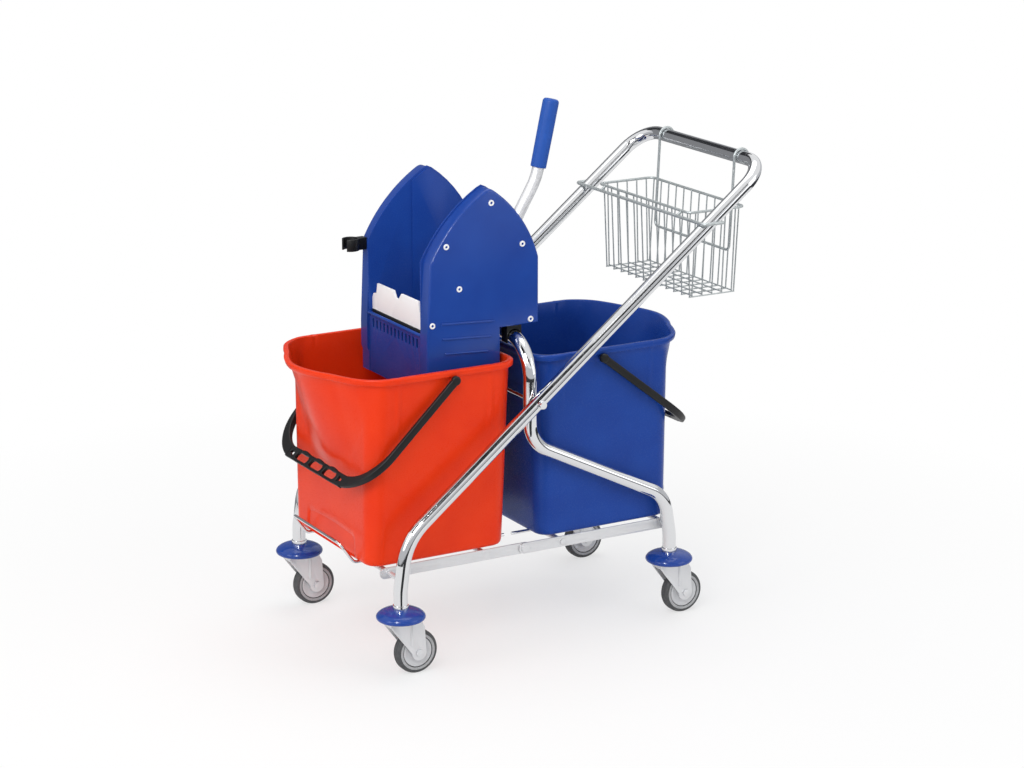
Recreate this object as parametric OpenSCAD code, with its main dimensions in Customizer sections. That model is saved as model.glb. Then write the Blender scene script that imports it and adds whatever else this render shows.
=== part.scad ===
// Double mop bucket trolley: a chromed tube frame on four castors, two buckets with bails,
// a lever press wringer hooked on the arch, and a wire basket on the push bar.
// The origin is on the floor under the arch, midway between the two sides.
// +X runs to the push bar, +Z is up. The near side is -Y and the far side is +Y.

/* [Frame] */
// Outer diameter of the frame tubes
tube_d = 25; // [24:0.5:27]
// Wall of the frame tubes
tube_wall = 1.5; // [1:0.1:2]
// Half the distance between the tubes of the handle frame
handle_half = 205; // [198:1:225]
// Gap between the two frames where they cross
cross_gap = 3; // [2:0.5:5]
// Distance of the front legs from the arch
front_x = 278; // [265:1:295]
// Distance of the rear legs from the arch
rear_x = 300; // [285:1:315]
// Distance of the push bar from the arch
bar_x = 478; // [460:1:500]
// Height of the push bar
bar_z = 841; // [825:1:870]
// Height of the arch's top bar above the bucket rims
arch_rise = 30.65; // [26:0.05:36]
// Height of the knees of the arch
knee_z = 377; // [365:1:385]
// Bend radius at the ends of the push bar
bar_bend = 55; // [40:1:70]
// Bend radius at the ends of the arch's top bar
arch_bend = 70; // [50:1:72]

/* [Links and rods] */
// Height of the link bars and the cross rods
link_z = 174; // [170:1:180]
// Height of a link bar's section
link_h = 20; // [16:1:22]
// Thickness of a link bar
link_t = 3; // [2:0.5:4]
// Diameter of the cross rods
rod_d = 10; // [8:0.5:12]
// Diameter of the retainer wire
wire_d = 6; // [5:0.5:8]
// Half the width of a retainer
retainer_half = 96; // [80:1:110]
// Diameter of the long pivot rod
pivot_d = 8; // [6:0.5:10]

/* [Castors] */
// Wheel diameter
wheel_d = 80; // [74:1:88]
// Width of a tyre
tyre_w = 21; // [17:1:23]
// Distance of the axle behind the swivel
trail = 28; // [22:1:34]
// Diameter of the bumper discs
bumper_d = 88; // [76:1:96]
// Height of the bumper discs
bumper_h = 19; // [15:1:23]

/* [Buckets] */
// Height of a bucket
bucket_h = 346; // [330:1:350]
// Wall of a bucket
bucket_wall = 2.6; // [2:0.2:3]
// How far the rim reaches out from the wall
rim_w = 8; // [7:0.5:9]
// How far the pouring prow reaches out at the rim
prow_l = 66; // [50:1:70]
// Height on the wall at which the prow starts
prow_z0 = 150; // [120:1:180]
// Distance from the prow's rim to the middle of a bail's grip
bail_gap = 24; // [18:0.5:28]
// Angle at which the red bucket's bail hangs below level
red_hang = 43.5; // [38:0.5:48]
// Angle at which the blue bucket's bail hangs below level
blue_hang = 38; // [34:0.5:48]

/* [Wringer] */
// Half the width of the wringer over its side covers
wringer_half = 130; // [122:1:138]
// Depth of a side cover
cover_d = 28; // [24:1:31]
// Height of the wringer's peak above the arch's top bar
peak_rise = 277; // [260:1:300]
// How far the wringer's bottom hangs below the arch's top bar
wringer_drop = 92; // [82:1:107]
// Diameter of the lever tube
lever_d = 22; // [20:0.5:25]
// Diameter of the grip on the lever
grip_d = 30; // [28:0.5:34]
// Inner radius of the clip for a mop handle
clip_r = 12.5; // [11:0.5:14]

/* [Basket] */
// Diameter of the basket's rim wire
rim_wire = 5; // [4:0.5:6]
// Diameter of the basket's mesh wires
mesh_wire = 2.6; // [2:0.2:3]
// Half the width of the basket at its rim
basket_half = 156; // [140:1:160]
// Height of the basket's floor
basket_z0 = 594; // [590:1:625]
// Height of the basket's rim
basket_z1 = 755; // [750:1:770]
// Wires across the basket's front
mesh_count = 12; // [8:1:16]

/* [Hidden] */
$fn = 64;
// Clearance between pieces that move apart
free = 0.3;
// Clearance between pieces fixed to each other
fit = 0.05;
// Running clearance of a shaft in its hole
run = 0.06;
// How far a straight runs into a bend, and how much thinner the bend is
lap = 0.6;
hair = 0.06;

// Castor heights
axle_z = wheel_d / 2;
crown_z = wheel_d + 19;
crown_t = 4.5;
bumper_z = crown_z + crown_t + 0.5;
collar_z = bumper_z + bumper_h;
leg_z = collar_z + 7;
pin_r = 5;
plate_in = tyre_w / 2 + 3.5;
plate_t = 2;
axle_r = 4;
fork_front = -27;

// Frame planes and paths
arch_half = handle_half - tube_d - cross_gap;
tube_r = tube_d / 2;
foot_h = 26;
front_knee = [-front_x + 12, 245];
rear_knee = [rear_x - 13, 234];
slope = (bar_z - front_knee[1]) / (bar_x - front_knee[0]);
cross_z = front_knee[1] - front_knee[0] * slope;
handle_side = [[-front_x, leg_z], [-front_x, leg_z + foot_h], front_knee, [bar_x, bar_z]];
wire_z = link_z + rod_d / 2 + wire_d / 2 + fit;
bucket_z = wire_z + wire_d / 2 + free;
arch_z = bucket_z + bucket_h + arch_rise;
arch_side = [[rear_x, leg_z], [rear_x, leg_z + foot_h], rear_knee, [0, knee_z], [0, arch_z]];
front_rod_x = leg_x(handle_side);
rear_rod_x = leg_x(arch_side);
inner_rod_x = 78;

// Links: the rear pair lies outside the front pair at the middle rivet
rear_link_y = arch_half - tube_r - 3.2 - link_t;
front_link_y = rear_link_y - link_t - free;

// Buckets
bail_t = 8;
bail_w = 14;
rim_half = handle_half - tube_r - 7.5 - bail_t - 1;
bail_y = rim_half + 1 + bail_t / 2;
rim_rear = tube_r + 3;
wall_half = rim_half - rim_w;
wall_rear = rim_rear + rim_w;
wall_front = 310;
side_draft = 13;
front_draft = -2;
rear_draft = 12;
low_corner = 28;
top_corner = 36;
peg_x = 152;
peg_h = bucket_h - 17;
peg_r = 5;
bail_l = wall_front + prow_l + rim_w - peg_x + bail_gap;
front_steps = 24;
corner_steps = 5;
edge_steps = 4;

// Wringer, in the plane of its sides
wringer_z0 = arch_z - wringer_drop;
peak_z = arch_z + peak_rise;
wringer_front = -178;
wringer_rear = 47;
wringer_low = -(wall_rear + bucket_wall + 7);
notch_z = arch_z + tube_r + 8.5;
peak_x = -56;
cheek_t = 3;
saddle_l = 20;
cover_y = wringer_half - cover_d;
cheek_y = cover_y - cheek_t;
shaft_x = 10;
shaft_z = arch_z + 76;
shaft_r = 7;
jaw_x = wringer_low - 13;
jaw_half = cheek_y - 7;
jaw_t = 5;
lever_tilt = 30.5;
lever_bend = [115, arch_z + 254];
lever_end = [145, arch_z + 389];
low_dir = [sin(lever_tilt), cos(lever_tilt)];
screw_at = [[-52, arch_z + 247], [-142, arch_z + 180], [11, arch_z + 169], [-116.5, arch_z + 101.5],
    [-168.5, arch_z + 41.5], [28, notch_z + 9]];
clip_z = arch_z + 143;
clip_h = 22;
clip_x = wringer_front - 12.5 - clip_r;
clip_y = wringer_half - 10;

// Basket
hook_r = tube_r + rim_wire / 2 + 0.4;
hanger_x = bar_x - hook_r;
hanger_top = bar_z - 15;
taper = 8;
lean = taper / (basket_z1 - basket_z0);
mesh_in = rim_wire / 2 + mesh_wire / 2 + fit;
basket_x1 = hanger_x - lean * (hanger_top - basket_z1) + 2 * mesh_in;
basket_x0 = 346;
support_d = 6;
support_x = basket_x0 - 11;
tube_tilt = atan(slope);
support_off = tube_r + support_d / 2 + free;
support_z = front_knee[1] + (support_x - front_knee[0]) * slope + support_off / cos(tube_tilt);
hanger_y = 126;

chrome = [0.82, 0.83, 0.85];
zinc = [0.72, 0.73, 0.75];
red = [0.85, 0.2, 0.08];
blue = [0.12, 0.25, 0.6];
black = [0.08, 0.08, 0.09];
white = [0.9, 0.9, 0.9];
grey = [0.45, 0.46, 0.48];
pale = [0.75, 0.76, 0.77];

// Geometry helpers

function unit(v) = v / norm(v);
function basis(o, x, y, z) = [[x[0], y[0], z[0], o[0]], [x[1], y[1], z[1], o[1]],
    [x[2], y[2], z[2], o[2]], [0, 0, 0, 1]];
function side_of(z) = unit(cross(abs(z[1]) < 0.9 ? [0, 1, 0] : [1, 0, 0], z));
function along(o, z) = basis(o, side_of(z), cross(z, side_of(z)), z);
function turn_at(p, i) = acos(unit(p[i] - p[i - 1]) * unit(p[i + 1] - p[i]));
function cut_at(p, r, i) = i == 0 || i == len(p) - 1 ? 0 : r[i] * tan(turn_at(p, i) / 2);
function reverse(v) = [for (i = [len(v) - 1 : -1 : 0]) v[i]];

// Both sides of a frame as one path, near side first
function both_sides(side, half) = concat([for (p = side) [p[0], -half, p[1]]],
    [for (p = reverse(side)) [p[0], half, p[1]]]);

// Where a leg's tube stands at the height of the rods
function leg_x(side) = side[1][0]
    + (side[2][0] - side[1][0]) * (link_z - side[1][1]) / (side[2][1] - side[1][1]);

// Points of an arc from p to q that turns clockwise through an angle
function arc_to(p, q, turn, n) = let(c = q - p, r = norm(c) / 2 / sin(turn / 2),
    o = (p + q) / 2 + [c[1], -c[0]] / norm(c) * r * cos(turn / 2),
    a0 = atan2(p[1] - o[1], p[0] - o[0]))
    [for (i = [0 : n]) o + r * [cos(a0 - turn * i / n), sin(a0 - turn * i / n)]];

// A wire bent through the points of a path. The straights run on a little into the bends,
// which are a hair thinner, so that the pieces join cleanly
module bent(p, r, d) {
    for (i = [0 : len(p) - 2]) {
        u = unit(p[i + 1] - p[i]);
        a = p[i] + u * (cut_at(p, r, i) - (i > 0 ? lap : 0));
        b = p[i + 1] - u * (cut_at(p, r, i + 1) - (i < len(p) - 2 ? lap : 0));
        wire(a, b, d);
    }
    for (i = [1 : len(p) - 2]) {
        u = unit(p[i] - p[i - 1]);
        v = unit(p[i + 1] - p[i]);
        w = unit(v - (u * v) * u);
        o = p[i] - u * cut_at(p, r, i) + w * r[i];
        multmatrix(basis(o, -w, u, cross(-w, u)))
            rotate_extrude(angle = turn_at(p, i))
                translate([r[i], 0])
                    circle(d = d - hair);
    }
}

// A path run on by 1 mm at both ends
function longer(p) = let(n = len(p) - 1) [for (i = [0 : n])
    i == 0 ? p[0] - unit(p[1] - p[0]) : i == n ? p[n] + unit(p[n] - p[n - 1]) : p[i]];

// An open tube bent through the points of a path
module bent_tube(p, r, d, wall) {
    difference() {
        bent(p, r, d);
        bent(longer(p), r, d - 2 * wall);
    }
}

// One straight wire
module wire(a, b, d) {
    multmatrix(along(a, unit(b - a)))
        cylinder(h = norm(b - a), d = d);
}

// A round bar along Y
module bar_y(x, z, y0, y1, r) {
    translate([x, y1, z])
        rotate([90, 0, 0])
            cylinder(h = y1 - y0, r = r);
}

// A flat shape in the side plane, given depth along Y
module slab(y0, y1) {
    translate([0, y1, 0])
        rotate([90, 0, 0])
            linear_extrude(y1 - y0)
                children();
}

module both() {
    children();
    mirror([0, 1, 0])
        children();
}

// Frame

module handle_frame() {
    color(chrome)
        difference() {
            bent_tube(both_sides(handle_side, handle_half),
                [0, 100, 110, bar_bend, bar_bend, 110, 100, 0], tube_d, tube_wall);
            bar_y(0, cross_z, -handle_half - tube_d, handle_half + tube_d, pivot_d / 2 + fit);
        }
}

module arch_frame() {
    color(chrome)
        difference() {
            bent_tube(both_sides(arch_side, arch_half),
                [0, 100, 65, 65, arch_bend, arch_bend, 65, 65, 100, 0], tube_d, tube_wall);
            bar_y(0, cross_z, -handle_half, handle_half, pivot_d / 2 + fit);
        }
}

module pivot_rod() {
    reach = handle_half + tube_r + 6;
    color(chrome)
        bar_y(0, cross_z, -reach, reach, pivot_d / 2);
}

module pivot_nuts() {
    seat = handle_half + tube_r + fit;
    color(chrome)
        both()
            difference() {
                union() {
                    bar_y(0, cross_z, seat, seat + 2, pivot_d);
                    bar_y(0, cross_z, seat + 1, seat + 8, pivot_d * 0.8);
                }
                bar_y(0, cross_z, seat - 1, seat + 6.5, pivot_d / 2 + fit);
            }
}

module pivot_spacers() {
    color(black)
        both()
            difference() {
                bar_y(0, cross_z, arch_half + tube_r + fit, handle_half - tube_r - fit, pivot_d);
                bar_y(0, cross_z, arch_half, handle_half, pivot_d / 2 + fit);
            }
}

// Links, rods and retainers

module link(x0, x1, holes, y0) {
    slab(y0, y0 + link_t)
        difference() {
            union() {
                translate([x0, link_z - link_h / 2])
                    square([x1 - x0, link_h]);
                for (x = [x0, x1])
                    translate([x, link_z])
                        circle(d = link_h);
            }
            translate([0, link_z])
                circle(r = 4 + fit);
            for (x = holes)
                translate([x, link_z])
                    circle(d = rod_d + 2 * fit);
        }
}

module link_front_far() {
    color(pale)
        link(front_rod_x - 8, 2, [front_rod_x, -inner_rod_x], front_link_y);
}

module link_front_near() {
    mirror([0, 1, 0])
        link_front_far();
}

module link_rear_far() {
    color(pale)
        link(-2, rear_rod_x + 4, [inner_rod_x, rear_rod_x], rear_link_y);
}

module link_rear_near() {
    mirror([0, 1, 0])
        link_rear_far();
}

module link_rivets() {
    out = rear_link_y + link_t + fit;
    in = front_link_y - fit;
    color(zinc)
        both() {
            bar_y(0, link_z, in - 2, out + 2, 4);
            bar_y(0, link_z, out, out + 2.5, 7.5);
            bar_y(0, link_z, in - 2.5, in, 7.5);
        }
}

module cross_rod(x, reach) {
    color(zinc)
        bar_y(x, link_z, -reach, reach, rod_d / 2);
}

module rod_front() {
    cross_rod(front_rod_x, handle_half - tube_r - fit);
}

module rod_front_inner() {
    cross_rod(-inner_rod_x, front_link_y + link_t);
}

module rod_rear_inner() {
    cross_rod(inner_rod_x, rear_link_y + link_t + 2);
}

module rod_rear() {
    cross_rod(rear_rod_x, arch_half - tube_r - fit);
}

module retainer_front() {
    foot = -wall_front - 4;
    top = foot - 27;
    side = [[-8, wire_z], [foot, wire_z], [top, wire_z + 39]];
    color(chrome)
        bent(both_sides(side, retainer_half), [0, 12, 14, 14, 12, 0], wire_d);
}

module retainer_rear() {
    mirror([1, 0, 0])
        retainer_front();
}

// Castors, in the order front near, front far, rear near, rear far

castor_at = [[-front_x, -handle_half], [-front_x, handle_half], [rear_x, -arch_half], [rear_x, arch_half]];

module at_castor(i) {
    translate([castor_at[i][0], castor_at[i][1], 0])
        children();
}

module stem() {
    translate([0, 0, crown_z - 3.5])
        cylinder(h = 3.2, r = 8);
    translate([0, 0, crown_z - 1])
        cylinder(h = collar_z - crown_z + 2, r = pin_r);
    translate([0, 0, collar_z + fit])
        cylinder(h = leg_z - collar_z - 2 * fit, r = tube_r + 1.5);
    translate([0, 0, leg_z - 1])
        cylinder(h = 19, r = tube_r - tube_wall - fit);
}

module castor_stems() {
    color(chrome)
        for (i = [0 : 3])
            at_castor(i)
                stem();
}

module bumper() {
    r = bumper_d / 2;
    h = bumper_h;
    translate([0, 0, bumper_z])
        rotate_extrude()
            polygon(concat([[pin_r + fit, h], [pin_r + fit, 4], [r - 6, 4], [r - 4, 0], [r - 1.5, 0], [r, 2]],
                reverse(arc_to([r - h * 0.8, h * 0.9], [r, h * 0.4], 70, 6)), [[tube_r + 3, h]]));
}

module bumper_discs() {
    color(blue)
        for (i = [0 : 3])
            at_castor(i)
                bumper();
}

module fork_plate() {
    slab(plate_in, plate_in + plate_t)
        difference() {
            union() {
                polygon([[fork_front, crown_z + crown_t], [fork_front, crown_z - 5], [trail - 14, axle_z],
                    [trail + 14, axle_z], [trail + 11, crown_z - 12], [trail + 3, crown_z + crown_t]]);
                translate([trail, axle_z])
                    circle(r = 14);
            }
            translate([trail, axle_z])
                circle(r = axle_r + fit);
        }
}

module fork() {
    color(zinc)
        difference() {
            union() {
                both() {
                    fork_plate();
                    translate([trail - 14, plate_in + plate_t, axle_z + 16])
                        cylinder(h = crown_z - axle_z - 15, r = 3);
                }
                translate([fork_front, -plate_in - 1, crown_z])
                    cube([trail - fork_front, 2 * plate_in + 2, crown_t]);
                translate([fork_front, -plate_in - 1, crown_z - 5])
                    cube([plate_t, 2 * plate_in + 2, 7]);
                translate([0, 0, crown_z])
                    cylinder(h = crown_t, r = 21);
            }
            translate([0, 0, crown_z - 1])
                cylinder(h = crown_t + 2, r = pin_r + run);
        }
}

module axle() {
    out = plate_in + plate_t + fit;
    color(zinc) {
        bar_y(trail, axle_z, -out - 1, out + 6, axle_r);
        translate([trail, -out, axle_z])
            rotate([90, 0, 0])
                cylinder(h = 4, r = 7, $fn = 6);
        difference() {
            translate([trail, out + 5, axle_z])
                rotate([90, 0, 0])
                    cylinder(h = 5, r = 7, $fn = 6);
            bar_y(trail, axle_z, out - 1, out + 7, axle_r + fit);
        }
    }
}

module about_axle() {
    translate([trail, 0, axle_z])
        rotate([90, 0, 0])
            rotate_extrude()
                children();
}

module hub() {
    boss = plate_in - free;
    rim = wheel_d / 2 - 12.5;
    color(pale)
        about_axle()
            polygon([[axle_r + run, -boss], [9, -boss], [10, -3], [rim - 5, -4], [rim - 4, -tyre_w / 2 + 1.5],
                [rim, -tyre_w / 2 + 1.5], [rim, tyre_w / 2 - 1.5], [rim - 4, tyre_w / 2 - 1.5], [rim - 5, 4],
                [10, 3], [9, boss], [axle_r + run, boss]]);
}

module tyre() {
    r = wheel_d / 2;
    w = tyre_w / 2;
    color(grey)
        about_axle()
            polygon(concat([[r - 12.5 + fit, -w]],
                [for (i = [0 : 5]) [r - 6 + 6 * sin(18 * i), -w + 6 - 6 * cos(18 * i)]],
                [for (i = [5 : -1 : 0]) [r - 6 + 6 * sin(18 * i), w - 6 + 6 * cos(18 * i)]],
                [[r - 12.5 + fit, w]]));
}

// Buckets: rings of points from the outer floor, over the rim, to the inner floor

function half_at(h) = wall_half - side_draft * (1 - h / bucket_h);
function front_at(h) = -wall_front + front_draft * (1 - h / bucket_h);
function rear_at(h) = -wall_rear - rear_draft * (1 - h / bucket_h);
function corner_at(h) = low_corner + (top_corner - low_corner) * h / bucket_h;
function rise_at(h) = max(0, (h - prow_z0) / (bucket_h - prow_z0));

// How far the prow stands out at a height and a distance from the middle
function prow_at(h, y) = let(s = rise_at(h), u = min(1, abs(y) / (wall_half * pow(s, 0.45) + 0.01)),
    bow = (sqrt(1 + 0.12) - sqrt(u * u + 0.12)) / (sqrt(1 + 0.12) - sqrt(0.12)))
    s * (prow_l * bow - 5 * exp(-pow((abs(y) - 88) / 12, 2)));

function corner(x, y, r, a0) = [for (i = [0 : corner_steps])
    [x + r * cos(a0 + 90 * i / corner_steps), y + r * sin(a0 + 90 * i / corner_steps)]];
function span(a, b, n) = [for (i = [1 : n - 1]) a + (b - a) * i / n];

function outline(h, off) = let(x0 = front_at(h) - off, x1 = rear_at(h) + off, b = half_at(h) + off,
    r = corner_at(h) + off)
    concat(corner(x1 - r, b - r, r, 0), span([x1 - r, b], [x0 + r, b], edge_steps),
        corner(x0 + r, b - r, r, 90), span([x0, b - r], [x0, r - b], front_steps),
        corner(x0 + r, r - b, r, 180), span([x0 + r, -b], [x1 - r, -b], edge_steps),
        corner(x1 - r, r - b, r, 270), span([x1, r - b], [x1, b - r], edge_steps));

function ring(h, off) = [for (p = outline(h, off))
    [p[0] < -peg_x ? p[0] - prow_at(h, p[1]) : p[0], p[1], h]];

module bucket_shell() {
    w = bucket_wall;
    top = bucket_h;
    lip = top - 11;
    prow_h = top - prow_z0;
    walls = concat([10, 80], [for (i = [0 : 4]) prow_z0 + prow_h * i / 5]);
    levels = concat([[0, -9], [3, -3]], [for (h = walls) [h, 0]],
        [[top - w, 0], [top - w, rim_w - w], [lip, rim_w - w], [lip, rim_w], [top - 2, rim_w],
            [top, rim_w - 2], [top, -w]], [for (h = reverse(walls)) [h, -w]], [[6, -w - 2], [w, -w - 8]]);
    n = len(ring(0, 0));
    last = len(levels) - 1;
    mid = (front_at(0) + rear_at(0)) / 2;
    floors = n * len(levels);
    points = concat([for (l = levels) each ring(l[0], l[1])], [[mid, 0, 0], [mid, 0, w]]);
    sides = [for (k = [0 : last - 1]) for (i = [0 : n - 1]) let(j = (i + 1) % n)
        each [[k * n + i, k * n + n + i, k * n + n + j], [k * n + i, k * n + n + j, k * n + j]]];
    under = [for (i = [0 : n - 1]) [i, (i + 1) % n, floors]];
    inside = [for (i = [0 : n - 1]) [last * n + (i + 1) % n, last * n + i, floors + 1]];
    polyhedron(points, concat(under, sides, inside));
}

module bucket() {
    translate([0, 0, bucket_z])
        union() {
            bucket_shell();
            both()
                bar_y(-peg_x, peg_h, half_at(peg_h) - bucket_wall * 0.6, bail_y + bail_t / 2 + 1.5, peg_r);
        }
}

module red_bucket() {
    color(red)
        bucket();
}

module blue_bucket() {
    color(blue)
        mirror([1, 0, 0])
            bucket();
}

// Outline of a bail seen flat, with its reach to the grip's edge and a tail behind its pivots
module bail_outline(half, reach, r, tail) {
    translate([r - reach, -half])
        square([reach - r + tail, 2 * half]);
    translate([-reach, r - half])
        square([reach + tail, 2 * (half - r)]);
    for (s = [-1, 1])
        translate([r - reach, s * (half - r)])
            circle(r);
}

// A bail lying level, its pivots at the origin and its grip towards -X
module bail_flat() {
    difference() {
        union() {
            linear_extrude(bail_w, center = true)
                difference() {
                    bail_outline(bail_y + bail_t / 2, bail_l + 12, 92, 0);
                    bail_outline(bail_y - bail_t / 2, bail_l - 12, 80, 1);
                    for (i = [-1 : 1])
                        translate([-bail_l - 7, i * 50 - 19.5])
                            square([14, 39]);
                }
            both()
                bar_y(0, 0, bail_y - bail_t / 2, bail_y + bail_t / 2, 8.5);
        }
        bar_y(0, 0, -bail_y - bail_t, bail_y + bail_t, peg_r + run);
    }
}

module bail(hang) {
    translate([-peg_x, 0, bucket_z + peg_h])
        rotate([0, -hang, 0])
            bail_flat();
}

module red_bail() {
    color(black)
        bail(red_hang);
}

module blue_bail() {
    color(black)
        mirror([1, 0, 0])
            bail(blue_hang);
}

// Wringer

// Outline of a wringer side above the notch, drawn in from its edge
function arch_outline(i, z) = let(f = wringer_front + i, b = wringer_rear - i, t = peak_z - 1.2 * i)
    concat([[f, z + i]], arc_to([f, arch_z + 152], [peak_x - 9, t - 4], 32, 8), [[peak_x, t]],
        arc_to([peak_x + 9, t - 4], [b, arch_z + 142], 40, 8), [[b, z + i]]);

// Outline of a whole wringer side, drawn in from its edge
function wringer_outline(i) = concat([[wringer_front + i, wringer_z0 + i]], arch_outline(i, notch_z),
    [[wringer_low - i, notch_z + i], [wringer_low - i, wringer_z0 + i]]);

// The arch of a side cover, with its screw bosses
module cover_arch() {
    difference() {
        union() {
            difference() {
                slab(cover_y, wringer_half)
                    polygon(arch_outline(0, notch_z));
                slab(cover_y - 1, wringer_half - cheek_t)
                    polygon(arch_outline(cheek_t, notch_z));
            }
            for (p = screw_at)
                bar_y(p[0], p[1], cover_y + fit, wringer_half - 1, 5);
            translate([wringer_front + 30, wringer_half - 1, wringer_z0 + 132])
                cube([105, 2, 5]);
        }
        for (p = screw_at)
            bar_y(p[0], p[1], cover_y - 1, wringer_half + 1, 2);
    }
}

// The skirt of a side cover, which hangs into the bucket under the arch
module cover_skirt() {
    long = wringer_low - wringer_front;
    high = notch_z - fit - wringer_z0;
    translate([wringer_front, cover_y, wringer_z0])
        difference() {
            cube([long, cover_d, high]);
            translate([cheek_t, -1, cheek_t])
                cube([long - 2 * cheek_t, cover_d + 1 - cheek_t, high - 2 * cheek_t]);
        }
    for (i = [0 : 1])
        translate([wringer_front + 30, wringer_half - 1, wringer_z0 + 82 + 25 * i])
            cube([105, 2, 5]);
}

module cover() {
    cover_arch();
    cover_skirt();
}

module cover_far() {
    color(blue)
        cover();
}

module cover_near() {
    color(blue)
        mirror([0, 1, 0])
            cover();
}

module cover_screws() {
    color(white)
        both()
            for (p = screw_at) {
                bar_y(p[0], p[1], cover_y + 2, wringer_half + 2, 1.95);
                bar_y(p[0], p[1], wringer_half + fit, wringer_half + 2.5, 5.5);
            }
}

module wringer_body() {
    front = wringer_front + 1;
    depth = wringer_low - front;
    wide = 2 * cheek_y + 2;
    color(blue)
        difference() {
            union() {
                both() {
                    slab(cheek_y, cover_y - fit)
                        polygon(wringer_outline(0));
                    slab(cheek_y - 3, cheek_y + 1)
                        intersection() {
                            polygon(wringer_outline(4));
                            translate([-88, notch_z + 6])
                                square([200, 300]);
                        }
                }
                translate([front, -wide / 2, wringer_z0])
                    cube([3, wide, 110]);
                bar_y(front - 0.5, wringer_z0 + 110, -wide / 2, wide / 2, 3.2);
                translate([front, -wide / 2, wringer_z0])
                    cube([depth, wide, 4]);
                translate([wringer_low - 3, -wide / 2, wringer_z0])
                    cube([3, wide, notch_z + 4 - wringer_z0]);
                translate([wringer_low - 3, -wide / 2, notch_z])
                    cube([wringer_rear - wringer_low + 3, wide, 4]);
                translate([wringer_rear - 3, -wide / 2, notch_z])
                    cube([3, wide, 32]);
            }
            bar_y(shaft_x, shaft_z, -wringer_half, wringer_half, shaft_r + 3 + fit);
            for (i = [-6 : 6])
                translate([front - 1, i * 14 - 3, wringer_z0 + 85])
                    cube([6, 6, 16]);
            for (i = [-4 : 4])
                translate([front + 20, i * 20 - 4, wringer_z0 - 1])
                    cube([depth - 40, 8, 6]);
        }
}

module front_jaw() {
    x = wringer_front + 7;
    top = arch_z + 75;
    low = wringer_z0 + 4 + fit;
    w = cheek_y - fit;
    color(white)
        difference() {
            translate([x, 0, 0])
                rotate([90, 0, 90])
                    linear_extrude(4)
                        polygon([[-w, low], [w, low], [w, top - 29], [w - 5, top - 21],
                            [w - 16, top - 19], [w - 20, top], [16, top], [8, top - 12], [-4, top - 12],
                            [-14, top], [20 - w, top], [16 - w, top - 19], [5 - w, top - 21],
                            [-w, top - 29]]);
            for (i = [-4 : 4])
                for (j = [0 : 2])
                    translate([x - 1, i * 18, wringer_z0 + 50 + 22 * j])
                        rotate([0, 90, 0])
                            cylinder(h = 6, r = 4);
        }
}

module saddle_hooks() {
    color(black)
        both()
            difference() {
                translate([-tube_r - 2.6, cover_y - 1, arch_z - 12])
                    cube([2 * tube_r + 5.2, saddle_l, notch_z - arch_z + 12 - fit]);
                bar_y(0, arch_z, 0, wringer_half + 10, tube_r + free + 0.1);
                translate([-tube_r - free - 0.1, 0, arch_z - 20])
                    cube([tube_d + 2 * free + 0.2, wringer_half + 10, 20]);
            }
}

module mop_clip() {
    color(black)
        translate([0, 0, clip_z - clip_h / 2])
            linear_extrude(clip_h)
                difference() {
                    union() {
                        translate([clip_x, clip_y])
                            circle(r = clip_r + 3.5);
                        translate([clip_x, clip_y - 8])
                            square([wringer_front - fit - clip_x, 16]);
                    }
                    translate([clip_x, clip_y])
                        circle(r = clip_r);
                    translate([clip_x, clip_y])
                        polygon([[0, 0], [-40, 30], [-40, -30]]);
                }
}

module shaft_bushes() {
    color(white)
        both()
            difference() {
                union() {
                    bar_y(shaft_x, shaft_z, cheek_y - 3, cover_y + 3, shaft_r + 3);
                    bar_y(shaft_x, shaft_z, cover_y, cover_y + 2, shaft_r + 6);
                }
                bar_y(shaft_x, shaft_z, 0, wringer_half, shaft_r + run);
            }
}

module press_shaft() {
    color(zinc)
        bar_y(shaft_x, shaft_z, -wringer_half + 7, wringer_half - 7, shaft_r);
}

// Points on the lever's lower line, measured from the shaft
function on_lever(s) = [shaft_x + s * low_dir[0], 0, shaft_z + s * low_dir[1]];

module press_jaw() {
    color(white)
        difference() {
            translate([jaw_x, -jaw_half, wringer_z0 + 15])
                cube([jaw_t, 2 * jaw_half, shaft_z + 12 - wringer_z0 - 15]);
            for (i = [-4 : 4])
                for (j = [0 : 3])
                    translate([jaw_x - 1, i * 18, wringer_z0 + 36 + 24 * j])
                        rotate([0, 90, 0])
                            cylinder(h = jaw_t + 2, r = 4);
        }
}

// The hub on the shaft, with four arms to the jaw and a socket for the lever
module press_arms() {
    hub_half = jaw_half - 34;
    color(white)
        difference() {
            union() {
                bar_y(shaft_x, shaft_z, -hub_half, hub_half, shaft_r + 8);
                both()
                    for (y = [24, hub_half - 8])
                        translate([jaw_x + jaw_t + fit, y, shaft_z - 26])
                            cube([shaft_x - jaw_x - jaw_t, 6, 38]);
                wire(on_lever(2), on_lever(72), lever_d + 6);
            }
            bar_y(shaft_x, shaft_z, -hub_half - 1, hub_half + 1, shaft_r + fit);
            wire(on_lever(20), on_lever(73), lever_d + 2 * fit);
        }
}

module lever_tube() {
    color(chrome)
        bent_tube([on_lever(21), [lever_bend[0], 0, lever_bend[1]], [lever_end[0], 0, lever_end[1]]],
            [0, 120, 0], lever_d, 1.5);
}

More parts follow.
